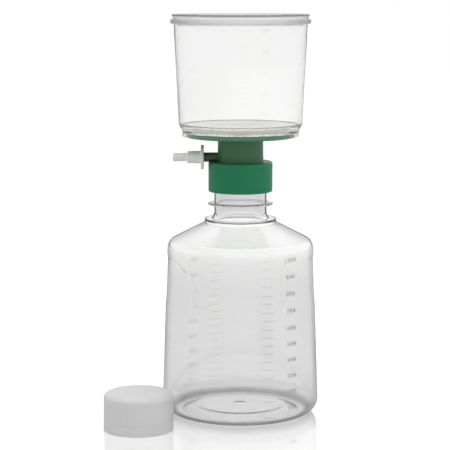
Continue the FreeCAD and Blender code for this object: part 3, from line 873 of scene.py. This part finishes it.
def make_disc():
    """Disc on the column, which carries the membrane's plate and stands clear of its skirt."""
    high = levels("neck_adapter")[1].z
    low = high - DISC_THICK
    clearance = 0.3
    bore = SPOUT_RADIUS + clearance
    disc = PLATE_INSIDE - clearance
    corners = [
        (bore, low), (COLUMN_TOP_RADIUS, low - 1.2, 0.6), (22.0, low), (disc, low, 0.6),
        (disc, high - SUNK), (bore, high - SUNK),
    ]
    carrier = lathe("adapter_disc", corners, ROUND_STEPS)
    finish_piece(carrier, "filter_head", disc_green)


def make_collar_thread():
    """The collar's inner thread, which lies half a pitch from the neck's."""
    start = levels("receiver_bottle")[1].z - THREAD_DROP + THREAD_PITCH / 2
    ridge = thread("collar_thread", THREAD_BORE, 21.25, start)
    finish_piece(ridge, "filter_head", adapter_green)


def make_hose_fitting():
    """Stepped hose fitting with a flange; its stem sits in the side arm."""
    low, high = levels("tube_adapter")
    height = (low.z + high.z) / 2
    tip, stem = low.x, high.x
    face = stem - FITTING_STEM
    flange = face - 2.4
    step = flange - 10.6
    bore, stem_radius, flange_radius = 1.5, 2.45, 9.8
    corners = [
        (stem, bore), (stem, stem_radius, 0.4), (face, stem_radius),
        (face, flange_radius, 0.5), (flange, flange_radius, 0.7),
        (flange, 5.05, 0.9), (step, 4.8, 0.5), (step - 0.4, 3.35, 0.3), (tip + 3.0, 3.3),
        (tip + 2.2, 3.5, 0.3), (tip, 3.3, 0.7), (tip, bore),
    ]
    fitting = lathe("hose_fitting", corners, SMALL_STEPS, (0, 0, height), "X")
    finish_piece(fitting, "filter_head", fitting_white, "tube_adapter")


# ---------------------------------------------------------------- membrane and its plate

def cut_spokes(plate, floor):
    """Cut the straight channels that cross the rings, two of the eight at a time."""
    length, width, spokes = 77.6, 2.4, 8
    for spoke in range(spokes // 2):
        deselect()
        bpy.ops.mesh.primitive_cube_add(size=1, location=(0, 0, (floor + DRAIN_DEPTH) * MM))
        cutter = bpy.context.object
        cutter.scale = (length * MM, width * MM, 2 * DRAIN_DEPTH * MM)
        bpy.ops.object.transform_apply(location=True, rotation=False, scale=True)
        cutter.rotation_euler.z = math.tau * spoke / spokes
        bpy.ops.object.transform_apply(location=False, rotation=True, scale=False)
        combine(plate, cutter, "DIFFERENCE")


def make_plate():
    """Clear plate with six ring channels, crossed by eight spokes, a drip spout, and a skirt
    round the green disc."""
    low, high = levels("membrane_support")
    top = high.z
    disc_top = levels("neck_adapter")[1].z
    floor = top - DRAIN_DEPTH
    skirt_low = disc_top - 3.4
    spout_bore = 3.6
    channel_width, channel_step, first_channel = 3.4, 6.0, 40.5
    channels = []
    for ring in range(6):
        outer = first_channel - channel_step * ring
        inner = outer - channel_width
        channels += [(outer, top), (outer, floor), (inner, floor), (inner, top)]
    corners = [
        (high.x, top), *channels, (spout_bore, top), (spout_bore, low.z),
        (SPOUT_RADIUS, low.z, 0.3), (SPOUT_RADIUS, disc_top), (PLATE_INSIDE, disc_top),
        (PLATE_INSIDE, skirt_low), (PLATE_RADIUS, skirt_low, 0.85),
        (PLATE_RADIUS, disc_top + 0.6),
    ]
    plate = lathe("membrane_plate", corners, ROUND_STEPS)
    cut_spokes(plate, floor)
    finish_piece(plate, "filter_head", plate_clear, "membrane_support")


def make_membrane():
    """Thin white disc, with its edge a little rounded."""
    low, high = levels("filter_membrane")
    edge = high.x + 1.4
    foot = low.z - SUNK
    corners = [(0, foot), (edge, foot), (edge, high.z, 0.1), (0, high.z)]
    membrane = lathe("membrane", corners, ROUND_STEPS)
    finish_piece(membrane, "filter_head", membrane_white, "filter_membrane")


# ---------------------------------------------------------------- funnel and lid

def make_funnel():
    """Tapered funnel with a bead at the top and a clamping ledge at the bottom."""
    low, high = levels("funnel")
    ledge = low.z + FUNNEL_LEDGE
    lip_low = high.z - FUNNEL_LIP
    lip = high.x
    mouth, arc = 41.5, 0.43
    foot = low.z + SUNK
    pocket = levels("filter_membrane")[1].z - SUNK
    corners = [
        (48.7, foot), (FUNNEL_LOW_RADIUS, ledge, arc), (FUNNEL_TOP_RADIUS, lip_low),
        (lip, lip_low, arc), (lip, high.z, arc), (FUNNEL_TOP_RADIUS - FUNNEL_WALL, high.z, arc),
        (FUNNEL_LOW_RADIUS - FUNNEL_WALL, ledge, 2.0), (mouth, low.z + 1.0), (mouth, pocket),
        (PLATE_RADIUS, pocket), (PLATE_RADIUS, foot),
    ]
    funnel = lathe("funnel_bowl", corners, ROUND_STEPS)
    finish_piece(funnel, "filter_head", funnel_clear, "funnel")


def funnel_radius(height):
    """Radius of the funnel's tapered wall at a height."""
    low, high = levels("funnel")
    share = (height - low.z - FUNNEL_LEDGE) / (high.z - low.z - FUNNEL_LIP - FUNNEL_LEDGE)
    return FUNNEL_LOW_RADIUS + (FUNNEL_TOP_RADIUS - FUNNEL_LOW_RADIUS) * share


def make_funnel_marks():
    """Faint scale on the funnel, fainter lower down: a tick every 4 mm, and a longer one with
    a number at every fourth."""
    top, step = levels("funnel")[1].z - 7.0, 4.0
    flat = []
    for index in range(17):
        height = top - step * index
        raised = 0.12 if index < 5 else 0.06
        if index % 4:
            flat.append(bar(7.5, 0.4, raised * 0.7, 1.5, height))
            continue
        flat.append(bar(12.0, 0.4, raised * 0.7, 0.0, height))
        flat.append(number(f"{500 - 25 * index}", 3.4, raised, 15.5, height))
    marks = join(flat, "funnel_marks")
    wrap(marks, funnel_radius, 0.0)
    finish_piece(marks, "filter_head", funnel_clear)


def make_lid():
    """Thin lid: skirt over the funnel's bead, plug ring inside it, raised rim on top."""
    low, high = levels("funnel_lid")
    top = high.z
    edge = levels("funnel")[1].z
    wall, arc = 1.2, 0.3
    panel = top - 1.0
    under = panel - wall
    skirt = high.x
    skirt_low, skirt_top = edge - 2.2, edge + 1.0
    ring = FUNNEL_TOP_RADIUS - FUNNEL_WALL - 0.45
    band = 53.9
    rim = 54.65
    rim_low = top - 1.7
    corners = [
        (0, panel), (0, under), (ring - wall, under, arc), (ring - wall, low.z, arc),
        (ring, low.z, arc), (ring, edge), (skirt - wall, edge), (skirt - wall, skirt_low),
        (skirt, skirt_low, arc), (skirt, skirt_top, arc), (band, skirt_top), (band, rim_low),
        (rim, rim_low, arc), (rim, top, arc), (rim - wall, top, arc), (rim - 2 * wall, panel),
    ]
    lid = lathe("lid", corners, ROUND_STEPS)
    finish_piece(lid, "lid", lid_clear, "funnel_lid")


# ---------------------------------------------------------------- seal and plug

def dress_hidden_pieces():
    """Give the neck's seal and the side arm's plug, kept as they come, their materials."""
    for node, material in (("neck_gasket", gasket_foam), ("side_arm_plug", plug_fibre)):
        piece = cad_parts[node]
        piece.data.materials.clear()
        piece.data.materials.append(material)


# ---------------------------------------------------------------- room, lamps and camera

def make_floor():
    """White floor, polished enough to mirror the foot of what stands on it. Plastic sees it with
    painted shade on the left and painted light under the bottle, and mirrors it darker."""
    deselect()
    bpy.ops.mesh.primitive_plane_add(size=12, location=(0, 0, 0))
    floor = bpy.context.object
    floor.name = "floor"
    material, nodes = new_material("floor_white")
    cloud = nodes.noise(3.0)
    through = nodes.ray("Is Transmission Ray")
    # Painted shade on the left and painted light under the bottle, for what is seen through
    # plastic.
    left = 1 - nodes.along("X").step(-90, 20)
    under = through * (1 - nodes.across().step(44, 60))
    glow = nodes.seen_ray() * (1 - through * left * 0.2) + under * 0.4
    matt = nodes.add("ShaderNodeBsdfPrincipled", None, {
        "Base Color": nodes.mix(cloud, (0.80, 0.80, 0.80), (0.79, 0.79, 0.79)),
        "Roughness": 0.6,
        "Emission Color": nodes.mix(glow, (0, 0, 0), (1, 1, 1)),
        "Emission Strength": 0.62,
    })
    mirror = nodes.add("ShaderNodeBsdfGlossy", None, {"Color": (1, 1, 1), "Roughness": 0.0})
    dark = nodes.add("ShaderNodeEmission", None, {"Color": (0.5, 0.5, 0.5)})
    polished = nodes.blend(0.6 - under * 0.45, matt, mirror)
    mirrored = nodes.ray("Is Glossy Ray") * (1 - nodes.seen_ray())
    nodes.output(Surface=nodes.blend(mirrored, polished, dark))
    floor.data.materials.append(material)


def make_world():
    """White surroundings for what is seen straight or through plastic. What plastic mirrors
    is a white ceiling over a dim room that is lighter on the right and dimmest behind."""
    world = bpy.data.worlds.new("studio")
    bpy.context.scene.world = world
    nodes = Nodes(world)
    way = nodes.add("ShaderNodeTexCoord", out="Generated")
    east, north, up = (nodes.part(way, axis) for axis in "XYZ")
    seen = nodes.seen_ray()
    ceiling = up.step(0.03, 0.12)
    behind = north.step(0.6, 0.95) * (1 - ceiling)
    mirrored = ceiling * 0.7 + east.step(0.2, 0.8) * 0.5 - 0.2 - behind * 0.2
    room = 0.5 + nodes.ray("Is Glossy Ray") * mirrored
    surface = nodes.add("ShaderNodeBackground", None,
                        {"Color": (1, 1, 1), "Strength": room * (1 - seen) + seen})
    nodes.output("ShaderNodeOutputWorld", Surface=surface)


def soft_lamp(name, place, target, width, height, power):
    """A large soft lamp that faces a target."""
    deselect()
    bpy.ops.object.light_add(type="AREA", location=place)
    lamp = bpy.context.object
    lamp.name = name
    lamp.data.shape = "RECTANGLE"
    lamp.data.size, lamp.data.size_y = width, height
    lamp.data.energy = power
    lamp.visible_glossy = False
    lamp.visible_transmission = False
    lamp.rotation_euler = (Vector(target) - Vector(place)).to_track_quat("-Z", "Y").to_euler()


def make_lamps():
    """A weak lamp overhead and a tall one on either side. The room gives most of the light."""
    soft_lamp("top_lamp", (0, -0.1, 1.5), (0, 0, 0.1), width=1.0, height=1.0, power=10.0)
    soft_lamp("left_lamp", (-1.1, -1.0, 0.7), (0, 0, 0.18), width=0.35, height=1.2, power=1.3)
    soft_lamp("right_lamp", (1.3, -0.5, 0.6), (0, 0, 0.18), width=0.35, height=1.2, power=1.7)


def make_camera():
    """Long lens, a little above the lid, looking slightly down."""
    deselect()
    look_down = 7.923
    bpy.ops.object.camera_add(location=(-0.0124, -1.361, 0.3419),
                              rotation=(math.radians(90 - look_down), 0, 0))
    camera = bpy.context.object
    camera.data.lens = 136.4
    camera.data.sensor_width = 36
    bpy.context.scene.camera = camera


make_bottle()
make_bottle_marks()
make_cap()
make_adapter()
make_disc()
make_collar_thread()
make_hose_fitting()
make_plate()
make_membrane()
make_funnel()
make_funnel_marks()
make_lid()
dress_hidden_pieces()

make_floor()
make_world()
make_lamps()
make_camera()

bpy.context.scene.view_settings.view_transform = "Standard"
